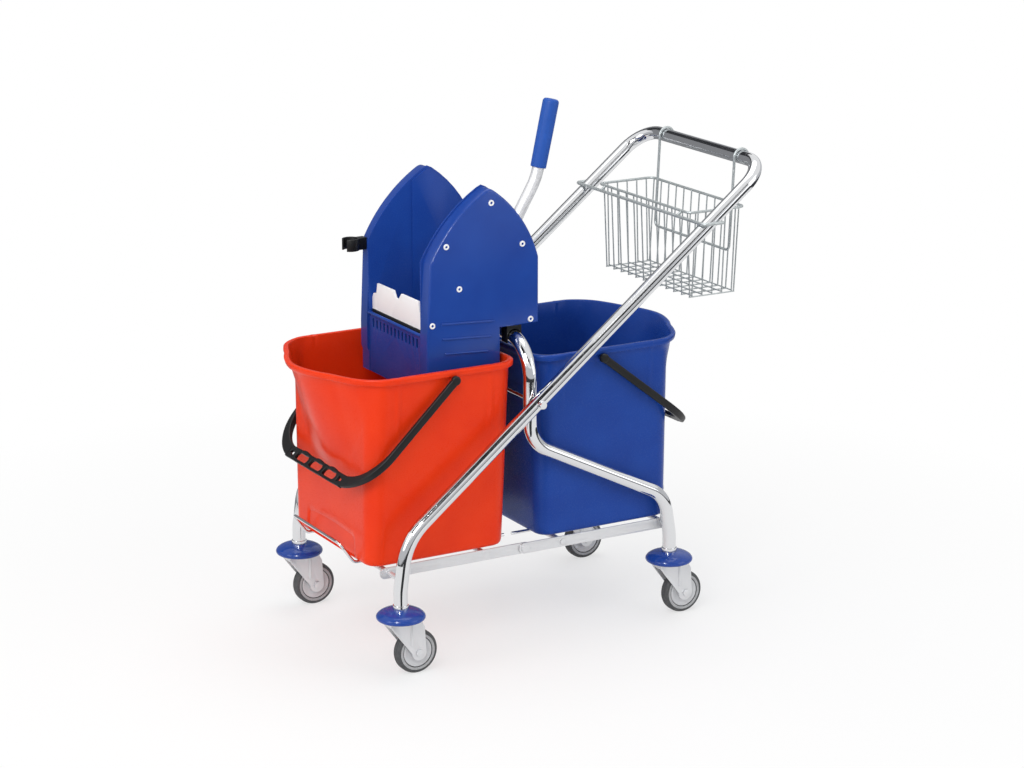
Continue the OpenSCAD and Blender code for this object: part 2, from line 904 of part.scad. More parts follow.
module lever_grip() {
    a = [lever_bend[0], 0, lever_bend[1]];
    b = [lever_end[0], 0, lever_end[1]];
    u = unit(b - a);
    len_in = norm(b - a) - 20;
    r = grip_d / 2;
    color(blue)
        multmatrix(along(b - u * len_in, u))
            rotate_extrude()
                polygon(concat([[lever_d / 2 + fit, 0], [r - 1.5, 0], [r - 0.5, 1]],
                    [for (i = [0 : 4]) [r - 6 + 6 * cos(22.5 * i), len_in + 2 + 6 * sin(22.5 * i)]],
                    [[0, len_in + 8], [0, len_in + fit], [lever_d / 2 + fit, len_in + fit]]));
}

// One coil round the shaft, a six-sided wire with its ends run straight out
module coil() {
    wire_r = 1.2;
    coil_r = (shaft_r + 0.35) / cos(22.5) + wire_r;
    pitch = 4.2;
    curls = 5;
    steps = curls * 8;
    y0 = jaw_half - 26;
    mid = concat([[coil_r, y0, -22]],
        [for (i = [0 : steps]) [coil_r * cos(45 * i), y0 + pitch * i / 8, coil_r * sin(45 * i)]],
        [[coil_r, y0 + pitch * curls, 22]]);
    out = concat([[1, 0, 0]], [for (i = [0 : steps]) [cos(45 * i), 0, sin(45 * i)]], [[1, 0, 0]]);
    points = [for (k = [0 : len(mid) - 1]) for (a = [0 : 5])
        mid[k] + wire_r * (cos(60 * a) * out[k] + [0, sin(60 * a), 0])];
    last = len(mid) - 1;
    sides = [for (k = [0 : last - 1]) for (i = [0 : 5]) let(j = (i + 1) % 6)
        each [[k * 6 + i, k * 6 + 6 + j, k * 6 + 6 + i], [k * 6 + i, k * 6 + j, k * 6 + 6 + j]]];
    echo(coil_gap = pitch - 2 * wire_r);
    translate([shaft_x, 0, shaft_z])
        polyhedron(points, concat([[for (i = [5 : -1 : 0]) i]], sides, [[for (i = [0 : 5]) last * 6 + i]]));
}

module return_springs() {
    color(zinc)
        both()
            coil();
}

// Basket

module basket_rim() {
    color(chrome)
        wire_loop(basket_x0, basket_x1, basket_half, 11);
}

// A closed loop of rim wire with rounded corners
module wire_loop(x0, x1, half, r) {
    z = basket_z1;
    in = r - lap;
    for (y = [-half, half])
        wire([x0 + in, y, z], [x1 - in, y, z], rim_wire);
    for (x = [x0, x1])
        wire([x, in - half, z], [x, half - in, z], rim_wire);
    for (c = [[x1 - r, half - r, 0], [x0 + r, half - r, 90], [x0 + r, r - half, 180], [x1 - r, r - half, 270]])
        translate([c[0], c[1], z])
            rotate([0, 0, c[2]])
                rotate_extrude(angle = 90)
                    translate([r, 0])
                        circle(d = rim_wire - hair);
}

// One wire hooked over the push bar at both ends, bent across the basket's back on its inside
module basket_hangers() {
    low = (basket_z0 + basket_z1) / 2 - 7;
    low_x = hanger_x - lean * (hanger_top - low);
    color(chrome) {
        bent([[hanger_x, -hanger_y, bar_z + lap], [hanger_x, -hanger_y, hanger_top], [low_x, -hanger_y, low],
            [low_x, hanger_y, low], [hanger_x, hanger_y, hanger_top], [hanger_x, hanger_y, bar_z + lap]],
            [0, 60, 10, 10, 60, 0], rim_wire);
        both() {
            translate([bar_x, hanger_y, bar_z])
                rotate([90, 0, 0])
                    rotate_extrude(angle = 180)
                        translate([hook_r, 0])
                            circle(d = rim_wire - hair);
            wire([bar_x + hook_r, hanger_y, bar_z + lap], [bar_x + hook_r, hanger_y, bar_z - 9], rim_wire);
        }
    }
}

module basket_support() {
    y = handle_half + tube_r + support_d / 2 + 1.5;
    rim = [basket_x0, 0, basket_z1];
    mid = [support_x, 0, support_z];
    arm = unit(rim - mid) * (norm(rim - mid) - rim_wire / 2 - fit);
    color(chrome) {
        bent([[support_x + 42, -y, support_z], [support_x, -y, support_z],
            [support_x, y, support_z], [support_x + 42, y, support_z]], [0, 10, 10, 0], support_d);
        for (at = [-basket_half + 24, basket_half - 24])
            wire(mid + [0, at, 0], mid + arm + [0, at, 0], rim_wire);
    }
}

mesh_x0 = basket_x0 + mesh_in;
mesh_x1 = basket_x1 - mesh_in;
mesh_y = basket_half - mesh_in;
function mesh_at(i) = (2 * i / (mesh_count - 1) - 1) * (mesh_y - 8);
side_count = 5;
function side_at(i) = mesh_x0 + 13 + (mesh_x1 - mesh_x0 - 26) * i / (side_count - 1);
floor_y = mesh_y - taper;

// Upright wires of the front or the rear
module mesh_wall(top, low) {
    z0 = basket_z0 + mesh_wire / 2 + fit;
    for (i = [0 : mesh_count - 1])
        wire([low, mesh_at(i), z0], [top, mesh_at(i), basket_z1 + 1], mesh_wire);
}

module basket_front() {
    color(chrome)
        mesh_wall(mesh_x0, mesh_x0 + taper);
}

module basket_rear() {
    color(chrome)
        mesh_wall(mesh_x1, mesh_x1 - taper);
}

module basket_side_far() {
    z0 = basket_z0 + 1.5 * mesh_wire + 3 * fit;
    color(chrome)
        for (i = [0 : side_count - 1])
            wire([side_at(i), floor_y, z0], [side_at(i), mesh_y, basket_z1 + 1], mesh_wire);
}

module basket_side_near() {
    mirror([0, 1, 0])
        basket_side_far();
}

module basket_floor() {
    x0 = mesh_x0 + taper - mesh_wire / 2;
    x1 = mesh_x1 - taper + mesh_wire / 2;
    color(chrome) {
        for (i = [0 : mesh_count - 1])
            wire([x0, mesh_at(i), basket_z0], [x1, mesh_at(i), basket_z0], mesh_wire);
        for (i = [0 : side_count - 1])
            wire([side_at(i), -floor_y - 1, basket_z0 + mesh_wire + fit],
                [side_at(i), floor_y + 1, basket_z0 + mesh_wire + fit], mesh_wire);
    }
}

handle_frame();
arch_frame();
pivot_rod();
pivot_nuts();
pivot_spacers();
link_front_near();
link_front_far();
link_rear_near();
link_rear_far();
link_rivets();
rod_front();
rod_front_inner();
rod_rear_inner();
rod_rear();
retainer_front();
retainer_rear();
castor_stems();
bumper_discs();
at_castor(0) fork();  // fork_fn
at_castor(1) fork();  // fork_ff
at_castor(2) fork();  // fork_rn
at_castor(3) fork();  // fork_rf
at_castor(0) axle();  // axle_fn
at_castor(1) axle();  // axle_ff
at_castor(2) axle();  // axle_rn
at_castor(3) axle();  // axle_rf
at_castor(0) hub();  // hub_fn
at_castor(1) hub();  // hub_ff
at_castor(2) hub();  // hub_rn
at_castor(3) hub();  // hub_rf
at_castor(0) tyre();  // tyre_fn
at_castor(1) tyre();  // tyre_ff
at_castor(2) tyre();  // tyre_rn
at_castor(3) tyre();  // tyre_rf
red_bucket();
blue_bucket();
red_bail();
blue_bail();
wringer_body();
cover_near();
cover_far();
cover_screws();
front_jaw();
saddle_hooks();
mop_clip();
press_jaw();
press_arms();
press_shaft();
shaft_bushes();
lever_tube();
lever_grip();
return_springs();
basket_rim();
basket_hangers();
basket_support();
basket_front();
basket_rear();
basket_side_near();
basket_side_far();
basket_floor();
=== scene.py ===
# %% [markdown]
# # A double mop bucket trolley
# The trolley's hard parts were made in CAD and arrive here as a fixed frame, in metres, with the
# floor at z = 0. Each new piece is made in place, where its CAD part already stands, and then
# rides on the same moving body. The pieces' sizes are written in millimetres, the studio's in metres.

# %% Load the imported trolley
import math

import bmesh
import bpy
from mathutils import Matrix, Vector


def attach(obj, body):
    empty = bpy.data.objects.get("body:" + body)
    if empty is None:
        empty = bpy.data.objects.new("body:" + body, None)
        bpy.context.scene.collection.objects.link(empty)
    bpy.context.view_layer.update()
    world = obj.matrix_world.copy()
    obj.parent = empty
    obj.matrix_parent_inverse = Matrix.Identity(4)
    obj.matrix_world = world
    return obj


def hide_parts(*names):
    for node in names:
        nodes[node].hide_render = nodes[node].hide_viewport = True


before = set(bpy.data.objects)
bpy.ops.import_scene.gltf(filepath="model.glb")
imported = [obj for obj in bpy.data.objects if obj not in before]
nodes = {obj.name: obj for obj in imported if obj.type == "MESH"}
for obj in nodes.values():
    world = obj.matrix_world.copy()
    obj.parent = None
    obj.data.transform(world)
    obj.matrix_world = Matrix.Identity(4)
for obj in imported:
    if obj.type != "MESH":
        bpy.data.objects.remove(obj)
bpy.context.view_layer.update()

MM = 0.001
to_metres = Matrix.Scale(MM, 4)
print("loaded", len(nodes), "CAD nodes")

# %% [markdown]
# ## Materials
# Every finish is a small node tree. Colours are written as they look on a screen, in sRGB, and one
# function turns them into the linear values that shaders use. Another function adds a node, sets
# its sockets and joins it to the nodes before it. The scale of a noise texture counts its features
# in a metre, so it is 1000 over their size in millimetres.

# %% Helpers for materials


def linear(hex_colour):
    """The linear colour of an sRGB hex value."""
    parts = [int(hex_colour[i : i + 2], 16) / 255 for i in (1, 3, 5)]
    curve = [c / 12.92 if c <= 0.04045 else ((c + 0.055) / 1.055) ** 2.4 for c in parts]
    return (*curve, 1.0)


def add(tree, kind, links=(), values=(), **settings):
    """Adds one node, with its settings, its socket values and its links."""
    made = tree.nodes.new(kind)
    for name, value in settings.items():
        setattr(made, name, value)
    for socket, value in values:
        made.inputs[socket].default_value = value
    for socket, source, out in links:
        tree.links.new(source.outputs[out], made.inputs[socket])
    return made


def new_tree(name):
    """An empty material and its node tree."""
    material = bpy.data.materials.new(name)
    material.use_nodes = True
    material.node_tree.nodes.clear()
    return material, material.node_tree


print("half of white on a screen is", round(linear("#808080")[0], 3), "in linear light")

# %% [markdown]
# ### Moulded plastic
# Buckets, covers and bumpers are injection-moulded polypropylene. The mould is spark-eroded, so the
# skin has a very fine grain, and flow in the mould leaves soft clouds in the colour. The grain of
# about 0.3 mm is too fine for this picture, so it is drawn at 1.5 mm with a low bump.

# %% Moulded plastics


def moulded(name, colour, shade, rough, shine=0.15, cloud_mm=70, grain_mm=1.5, bump=0.02):
    """Moulded plastic with faint colour clouds and a fine grain."""
    material, tree = new_tree(name)
    place = add(tree, "ShaderNodeTexCoord")
    cloud = add(tree, "ShaderNodeTexNoise", [("Vector", place, "Object")],
                [("Scale", 1000 / cloud_mm), ("Detail", 2.0)])
    tint = add(tree, "ShaderNodeValToRGB", [("Fac", cloud, "Fac")])
    tint.color_ramp.elements[0].position = 0.3
    tint.color_ramp.elements[0].color = linear(shade)
    tint.color_ramp.elements[1].position = 0.7
    tint.color_ramp.elements[1].color = linear(colour)
    grain = add(tree, "ShaderNodeTexNoise", [("Vector", place, "Object")],
                [("Scale", 1000 / grain_mm), ("Detail", 2.0)])
    gloss = add(tree, "ShaderNodeMapRange", [("Value", grain, "Fac")],
                [("To Min", rough - 0.05), ("To Max", rough + 0.06)])
    relief = add(tree, "ShaderNodeBump", [("Height", grain, "Fac")],
                 [("Strength", bump), ("Distance", 0.2 * MM)])
    skin = add(tree, "ShaderNodeBsdfPrincipled",
               [("Base Color", tint, "Color"), ("Roughness", gloss, "Result"),
                ("Normal", relief, "Normal")],
               [("IOR", 1.49), ("Specular IOR Level", shine)])
    add(tree, "ShaderNodeOutputMaterial", [("Surface", skin, "BSDF")])
    return material


red_polypropylene = moulded("red_moulded_polypropylene", "#EE3D14", "#E83610", 0.28)
blue_polypropylene = moulded("blue_moulded_polypropylene", "#1F479E", "#1C4196", 0.26)
blue_gloss = moulded("blue_polished_polypropylene", "#1F479E", "#1C4196", 0.16, shine=0.4, bump=0.005)
blue_vinyl = moulded("blue_soft_vinyl", "#2E5BB4", "#2A56AC", 0.35)
black_nylon = moulded("black_moulded_nylon", "#191A1C", "#131415", 0.42, shine=0.3)
white_polyethylene = moulded("white_moulded_polyethylene", "#FBFBFB", "#F4F4F5", 0.45)
grey_hub_plastic = moulded("pale_grey_moulded_nylon", "#D9DADC", "#D0D1D4", 0.4)
print("plastics:", red_polypropylene.name, blue_polypropylene.name)

# %% [markdown]
# ### Metals and rubber
# The tubes are bright nickel-chrome plate, nearly a mirror, with faint polishing haze. The basket's
# wires have a duller nickel plate, and the lever is satin aluminium. The links, forks and bolts are
# zinc plated, which is soft and slightly mottled by its crystals. The tyres are grey thermoplastic
# rubber with a darker tread.

# %% Metals and rubber


def plated(name, colour, rough_low, rough_high, patch_mm, bump=0.0, metal=1.0):
    """A plated metal whose haze changes in patches."""
    material, tree = new_tree(name)
    place = add(tree, "ShaderNodeTexCoord")
    patch = add(tree, "ShaderNodeTexNoise", [("Vector", place, "Object")],
                [("Scale", 1000 / patch_mm), ("Detail", 4.0)])
    haze = add(tree, "ShaderNodeMapRange", [("Value", patch, "Fac")],
               [("From Min", 0.35), ("From Max", 0.65), ("To Min", rough_low), ("To Max", rough_high)])
    relief = add(tree, "ShaderNodeBump", [("Height", patch, "Fac")],
                 [("Strength", bump), ("Distance", 0.1 * MM)])
    skin = add(tree, "ShaderNodeBsdfPrincipled",
               [("Roughness", haze, "Result"), ("Normal", relief, "Normal")],
               [("Base Color", linear(colour)), ("Metallic", metal)])
    add(tree, "ShaderNodeOutputMaterial", [("Surface", skin, "BSDF")])
    return material


chrome_plate = plated("chrome_plated_steel", "#DCDDDF", 0.04, 0.10, 40)
zinc_plate = plated("zinc_plated_steel", "#DCDDDF", 0.3, 0.45, 6, 0.05, 0.5)
wire_plate = plated("nickel_plated_wire", "#B4BABB", 0.3, 0.45, 10, 0.0, 0.5)
lever_aluminium = plated("satin_aluminium", "#EEEEEF", 0.3, 0.4, 25, 0.0, 0.5)


def rubber(name, colour, shade, dust_mm=5):
    """Grey tyre rubber with a dusty, uneven surface."""
    material, tree = new_tree(name)
    place = add(tree, "ShaderNodeTexCoord")
    dust = add(tree, "ShaderNodeTexNoise", [("Vector", place, "Object")],
               [("Scale", 1000 / dust_mm), ("Detail", 5.0)])
    tint = add(tree, "ShaderNodeValToRGB", [("Fac", dust, "Fac")])
    tint.color_ramp.elements[0].position = 0.35
    tint.color_ramp.elements[0].color = linear(shade)
    tint.color_ramp.elements[1].position = 0.65
    tint.color_ramp.elements[1].color = linear(colour)
    relief = add(tree, "ShaderNodeBump", [("Height", dust, "Fac")],
                 [("Strength", 0.15), ("Distance", 0.3 * MM)])
    skin = add(tree, "ShaderNodeBsdfPrincipled",
               [("Base Color", tint, "Color"), ("Normal", relief, "Normal")],
               [("Roughness", 0.7), ("IOR", 1.52)])
    add(tree, "ShaderNodeOutputMaterial", [("Surface", skin, "BSDF")])
    return material


tyre_rubber = rubber("grey_tyre_rubber", "#B2B3B5", "#A5A6A8")
tread_rubber = rubber("dark_tread_rubber", "#4F5052", "#454648")
print("metals:", chrome_plate.name, zinc_plate.name, wire_plate.name, lever_aluminium.name)

# %% [markdown]
# ## Helpers for pieces
# A piece is a bmesh that becomes an object at the origin. Its faces are smooth, and edges sharper
# than an angle stay crisp. It rides on a body of the frame and may stand for a CAD node. A CAD node
# that stays in view is only given a better material.

# %% Helpers for pieces


def finish_piece(bm, name, material, body, stands_for=(), crisp=35):
    """Makes the object, shades it, and hands it to the frame."""
    mesh = bpy.data.meshes.new(name)
    bm.to_mesh(mesh)
    bm.free()
    mesh.shade_smooth()
    mesh.set_sharp_from_angle(angle=math.radians(crisp))
    for one in material if isinstance(material, list) else [material]:
        mesh.materials.append(one)
    piece = bpy.data.objects.new(name, mesh)
    bpy.context.scene.collection.objects.link(piece)
    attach(piece, body)
    if stands_for:
        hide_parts(*stands_for)
    print(name, len(mesh.polygons), "faces on", body)
    return piece


def dress(names, material):
    """Gives CAD nodes that stay in view a better material."""
    for name in names:
        for slot in nodes[name].material_slots:
            slot.material = material
    print(material.name, "on", len(names), "CAD nodes")


def rounded(bm, edges, radius, segments, clamp=False):
    """Rounds some edges of a mesh."""
    bmesh.ops.bevel(bm, geom=edges, offset=radius, segments=segments, profile=0.5, affect="EDGES",
                    material=-1, clamp_overlap=clamp)


def softened(name, material, body, radius, sharp_from=32, flat_within=0.5):
    """A merged copy of a CAD node with its sharp edges rounded."""
    bm = bmesh.new()
    bm.from_mesh(nodes[name].data)
    bmesh.ops.remove_doubles(bm, verts=bm.verts[:], dist=1e-6)
    bmesh.ops.dissolve_limit(bm, angle_limit=math.radians(flat_within), verts=bm.verts[:],
                             edges=bm.edges[:])
    sharp = [e for e in bm.edges if e.is_manifold and e.calc_face_angle(0) > math.radians(sharp_from)]
    rounded(bm, sharp, radius * MM, 2, clamp=True)
    return finish_piece(bm, name + "_dressed", material, body, [name])


# %% [markdown]
# ## Buckets
# A bucket is one moulding with a broad pouring prow. A closed loop of edges is extruded from the floor
# up the wall, over the rolled rim and down the inside, and each new loop is laid on the bucket's
# outline at its height. A vertex layer remembers each vertex's place in the loop.

# %% The bucket's outline
bucket_h = 346
bucket_z = 185.35
wall = 2.6
rim = 8
wall_half = 168
wall_front = 310
wall_rear = 23.5
front_draft, rear_draft, side_draft = 2, 12, 13
corner_r, corner_draft = 36, 8
prow_l, prow_z0, prow_spread, prow_blunt = 66, 150, 0.45, 0.12
dip_y, dip_wide, dip_deep = 88, 16, 2
hold_half, hold_h, hold_deep, hold_fade, hold_bow = 96, 52, 6, 12, 0.0008
rib_places, rib_wide, rib_high, rib_z0, rib_fade = (-258, -73), 4, 1.6, 215, 60
corner_steps, side_steps, front_steps, rear_steps = 12, 60, 84, 16
peg_x = 152
peg_h = bucket_h - 17


def ease(t):
    """A smooth step from 0 to 1."""
    t = min(1.0, max(0.0, t))
    return t * t * (3 - 2 * t)


def prow(h, y):
    """How far the prow stands out from the front wall."""
    rise = max(0.0, (h - prow_z0) / (bucket_h - prow_z0))
    u = min(1.0, abs(y) / (wall_half * rise**prow_spread + 0.01))
    full = math.sqrt(1 + prow_blunt)
    bow = (full - math.sqrt(u * u + prow_blunt)) / (full - math.sqrt(prow_blunt))
    return rise * (prow_l * bow - dip_deep * math.exp(-(((abs(y) - dip_y) / dip_wide) ** 2)))


def foot_hold(h, y):
    """How deep the hold for emptying goes in, low on the front."""
    inside, below = hold_half - abs(y), hold_h - h - hold_bow * y * y
    return hold_deep * ease(inside / hold_fade) * ease(below / hold_fade)


def rib(h, x):
    """Two shallow ribs under the rim on each side."""
    near = max(math.exp(-(((x - at) / rib_wide) ** 2)) for at in rib_places)
    return rib_high * near * ease((h - rib_z0) / rib_fade)


def outline(h, off):
    """The loop at one height, off mm outside the wall, with the front at -X."""
    k = 1 - h / bucket_h
    x0, x1 = -wall_front - front_draft * k - off, -wall_rear - rear_draft * k + off
    b, r = wall_half - side_draft * k + off, corner_r - corner_draft * k + off
    loop = []

    def corner(x, y, start):
        for i in range(corner_steps + 1):
            a = math.radians(start + 90 * i / corner_steps)
            loop.append((x + r * math.cos(a), y + r * math.sin(a)))

    def edge(p, q, steps):
        for i in range(1, steps):
            loop.append((p[0] + (q[0] - p[0]) * i / steps, p[1] + (q[1] - p[1]) * i / steps))

    corner(x1 - r, b - r, 0)
    edge((x1 - r, b), (x0 + r, b), side_steps)
    corner(x0 + r, b - r, 90)
    edge((x0, b - r), (x0, r - b), front_steps)
    corner(x0 + r, r - b, 180)
    edge((x0 + r, -b), (x1 - r, -b), side_steps)
    corner(x1 - r, r - b, 270)
    edge((x1, r - b), (x1, b - r), rear_steps)
    shaped = []
    for x, y in loop:
        if x < x0 + r and abs(y) < b - 1:
            shaped.append((x - prow(h, y) + (foot_hold(h, y) if off > -wall else 0), y))
        elif abs(y) > b - 0.5 and off > -wall:
            shaped.append((x, y + math.copysign(rib(h, x), y)))
        else:
            shaped.append((x - (prow(h, y) if x < -peg_x else 0), y))
    return shaped


# Levels are pairs of a height and an offset from the wall. The rim's heights count down from the top.
walls = [10, 16, 24, 32, 40, 48, 56, 64, 80, 110, 140, 150, 160, 172, 186, 200, 216, 232, 250, 268, 286,
         304, 320]
foot = [(0, -9), (0.6, -6), (2.2, -3), (5, -1)]
rolled_rim = [(14, 0), (12, 0.8), (11.2, rim - 2), (10.6, rim - 0.6), (9, rim), (3, rim),
              (1.2, rim - 0.6), (0.2, rim - 2), (0, rim - 4), (0, 1.5 - wall), (0.5, 0.4 - wall),
              (1.6, -wall)]
inner_floor = [(6, -wall - 1.5), (3.6, -wall - 4), (wall, -wall - 9)]
levels = foot + [(h, 0) for h in walls] + [(bucket_h - down, off) for down, off in rolled_rim]
levels += [(h, -wall) for h in reversed(walls)] + inner_floor
print("bucket loops:", len(levels), "of", len(outline(0, 0)), "points")

# %% [markdown]
# The same function makes both buckets, since the blue one is the red one with its prow to the back. Two
# short pegs below the rim carry the bail.

# %% Make the two buckets
peg_y, peg_r, peg_l, peg_edge = 165, 4.9, 17.6, 0.6


def next_loop(bm, edges, place, points):
    """Extrudes a loop of edges and lays its new vertices on points."""
    made = bmesh.ops.extrude_edge_only(bm, edges=edges)["geom"]
    verts = {v for v in made if isinstance(v, bmesh.types.BMVert)}
    for v in verts:
        v.co = points[v[place]]
    return [e for e in made if isinstance(e, bmesh.types.BMEdge) and all(v in verts for v in e.verts)]


def skin_loops(bm, loops):
    """A closed skin through a list of loops, with its two ends filled."""
    place = bm.verts.layers.int.new("place")
    first = [bm.verts.new(p) for p in loops[0]]
    for i, v in enumerate(first):
        v[place] = i
    edges = [bm.edges.new((v, first[(i + 1) % len(first)])) for i, v in enumerate(first)]
    bmesh.ops.contextual_create(bm, geom=edges)
    for points in loops[1:]:
        edges = next_loop(bm, edges, place, points)
    bmesh.ops.contextual_create(bm, geom=edges)
    bm.verts.layers.int.remove(place)


def peg(bm, x, side):
    """A peg for the bail, standing out along Y from one side of the wall."""
    turn = Matrix.Rotation(math.radians(-90 * side), 4, "X")
    root = Matrix.Translation(Vector((x, side * peg_y, bucket_z + peg_h)) * MM)
    bar = bmesh.ops.create_cone(bm, cap_ends=True, segments=32, radius1=peg_r * MM, radius2=peg_r * MM,
                                depth=peg_l * MM,
                                matrix=root @ turn @ Matrix.Translation((0, 0, peg_l / 2 * MM)))
    ends = [e for e in {e for v in bar["verts"] for e in v.link_edges} if e.calc_face_angle(0) > 1]
    rounded(bm, ends, peg_edge * MM, 2)


def bucket(name, turn, body, node, material):
    """One bucket; turn is 1 for a prow at -X and -1 for a prow at +X."""
    bm = bmesh.new()
    skin_loops(bm, [[Vector((turn * x, y, h + bucket_z)) * MM for x, y in outline(h, off)]
                    for h, off in levels])
    for side in (-1, 1):
        peg(bm, -turn * peg_x, side)
    bmesh.ops.recalc_face_normals(bm, faces=bm.faces[:])
    return finish_piece(bm, name, material, body, [node], crisp=40)


bucket("red_bucket_moulding", 1, "red_pail", "red_bucket", red_polypropylene)
bucket("blue_bucket_moulding", -1, "blue_pail", "blue_bucket", blue_polypropylene)

# %% [markdown]
# ## Bails
# The black bail is a flat strip moulded as a U. Its arms are slim, it widens through two large round
# corners, and its grip is a ladder with three rounded windows and finger bumps. The strip is a rounded
# section carried along the U by the same loop extrusion, with its width taken between an inner and an
# outer edge line.

# %% Sections of the bail's strip
bail_l = 256
bail_in, bail_out = 177, 185
arm_thick, grip_thick, grip_half = 14, 8, 12
root_in, root_out = 107, 105
bend_in, bend_out, bend_turn, bend_steps = 80, 92, 80, 24
section_steps, section_power = 20, 0.4


def strip_section(inner, outer, thick):
    """A rounded strip section between a point on the inner edge and one on the outer edge."""
    middle, half = (inner + outer) / 2, (outer - inner) / 2
    ring = []
    for i in range(section_steps):
        a = math.tau * (i + 0.5) / section_steps
        wide, high = (math.copysign(abs(t) ** section_power, t) for t in (math.cos(a), math.sin(a)))
        ring.append(middle + half * wide + Vector((0, 0, thick / 2 * high)))
    return ring


def bail_arm(bm, side):
    """One arm and corner of a bail, as far as the grip."""
    rows = [(Vector((-t, side * bail_in, 0)), Vector((-t, side * bail_out, 0)), arm_thick)
            for t in (0, 40, 80, 120, 150)]
    centre_in = Vector((bend_in + grip_half - bail_l, side * (bail_in - bend_in), 0))
    centre_out = Vector((bend_out - grip_half - bail_l, side * (bail_out - bend_out), 0))
    for i in range(bend_steps + 1):
        a = math.radians(bend_turn * i / bend_steps)
        ray = Vector((-math.sin(a), side * math.cos(a), 0))
        thin = ease((i / bend_steps - 0.25) / 0.75)
        rows.append((centre_in + bend_in * ray, centre_out + bend_out * ray,
                     arm_thick - (arm_thick - grip_thick) * thin))
    rows.append((Vector((grip_half - bail_l, side * root_in, 0)),
                 Vector((-grip_half - bail_l, side * root_out, 0)), grip_thick))
    skin_loops(bm, [strip_section(p, q, thick) for p, q, thick in rows])


print("bail section:", len(strip_section(Vector((0, 0, 0)), Vector((0, 8, 0)), arm_thick)), "points")

# %% [markdown]
# The grip starts as a grid whose lines are moved to the windows' edges. The window faces are deleted,
# the rest is extruded to its thickness, and bevels round the windows' corners and all the rims. The
# eyes at the ends of the arms are spun, with a blind hole for the bucket's peg.

# %% Grip and eyes
window_edges, slit_from, slit_to, plate_end = [22.5, 32.5, 77.5], 87, 102, 109
window_half, window_r, window_at = 7, 6, 55
slit_tip, plate_thick, plate_edge = 0.15, 7, 1.2


def spun(bm, points, steps):
    """Spins a profile of (radius, height) about Z."""
    verts = [bm.verts.new((r, 0, h)) for r, h in points]
    edges = [bm.edges.new(pair) for pair in zip(verts, verts[1:])]
    bmesh.ops.spin(bm, geom=verts + edges, cent=(0, 0, 0), axis=(0, 0, 1), angle=math.tau, steps=steps,
                   use_merge=True)
    bmesh.ops.remove_doubles(bm, verts=bm.verts[:], dist=1e-5)
    bmesh.ops.delete(bm, geom=[e for e in bm.edges if not e.link_faces], context="EDGES")


def turned(points, matrix, steps=64):
    """A closed spun part, put in place by a matrix."""
    bm = bmesh.new()
    spun(bm, points, steps)
    bmesh.ops.recalc_face_normals(bm, faces=bm.faces[:])
    bmesh.ops.transform(bm, matrix=matrix, verts=bm.verts[:])
    return bm


def merged(parts):
    """Joins several bmeshes into one."""
    whole = bmesh.new()
    for part in parts:
        scrap = bpy.data.meshes.new("scrap")
        part.to_mesh(scrap)
        part.free()
        whole.from_mesh(scrap)
        bpy.data.meshes.remove(scrap)
    return whole


def bail_grip():
    """The ladder grip, level, with its middle on the bail's line and a slit at each end."""
    bm = bmesh.new()
    half_lines = window_edges + [slit_from, slit_to, plate_end]
    across = [-y for y in reversed(half_lines)] + half_lines
    deep = [-grip_half, -window_half, window_half, grip_half]
    grid = bmesh.ops.create_grid(bm, x_segments=len(deep) - 1, y_segments=len(across) - 1,
                                 size=0.5)["verts"]
    columns = sorted({round(v.co.x, 4) for v in grid})
    rows = sorted({round(v.co.y, 4) for v in grid})
    for v in grid:
        x, y = deep[columns.index(round(v.co.x, 4))], across[rows.index(round(v.co.y, 4))]
        tip = abs(x) == window_half and abs(y) == slit_to
        v.co = (x * (slit_tip if tip else 1) - bail_l, y, -plate_thick / 2)
    middles = (0, window_at, (slit_from + slit_to) / 2)
    holes = [f for f in bm.faces if abs(f.calc_center_median().x + bail_l) < 1
             and min(abs(abs(f.calc_center_median().y) - y) for y in middles) < 1]
    bmesh.ops.delete(bm, geom=holes, context="FACES_ONLY")
    top = bmesh.ops.extrude_face_region(bm, geom=bm.faces[:], use_keep_orig=True)["geom"]
    bmesh.ops.translate(bm, verts=[v for v in top if isinstance(v, bmesh.types.BMVert)],
                        vec=(0, 0, plate_thick))
    bmesh.ops.recalc_face_normals(bm, faces=bm.faces[:])

    def rise(e):
        return abs(e.verts[0].co.z - e.verts[1].co.z)

    posts = [e for e in bm.edges if rise(e) > plate_thick - 1 and e.calc_face_angle(0) > 1
             and abs(e.verts[0].co.x + bail_l) < window_half + 1 and abs(e.verts[0].co.y) < slit_from - 1]
    rounded(bm, posts, window_r, 5)
    rims = [e for e in bm.edges if rise(e) < 0.1 and e.calc_face_angle(0) > 1
            and (max(abs(v.co.y) for v in e.verts) < plate_end - 0.1
                 or all(abs(abs(v.co.x + bail_l) - grip_half) < 0.1 for v in e.verts))]
    rounded(bm, rims, plate_edge, 3)
    return bm


finger_bump = [(0, -4), (2.6, -4), (3.6, -3.6), (4, -2.6), (4, 2.6), (3.6, 3.6), (2.6, 4), (0, 4)]
eye_profile = [(5.1, 0), (7.4, 0), (8.2, 0.5), (8.5, 1.6), (8.5, 6.4), (8, 7.6), (7, 8.3), (4, 8.5),
               (0, 8.5), (0, 6.4), (5.1, 6.4), (5.1, 0)]
print("grip faces:", len(bail_grip().faces))

# %% [markdown]
# A bail's parts are made level, with its pegs at the origin. They are joined, turned down to where the
# bail rests on its bucket, and moved to the pegs. The finger bumps sit in the grip's inner edge.

# %% Put the bails together
bump_x, bump_stretch = 10.4, 3.6


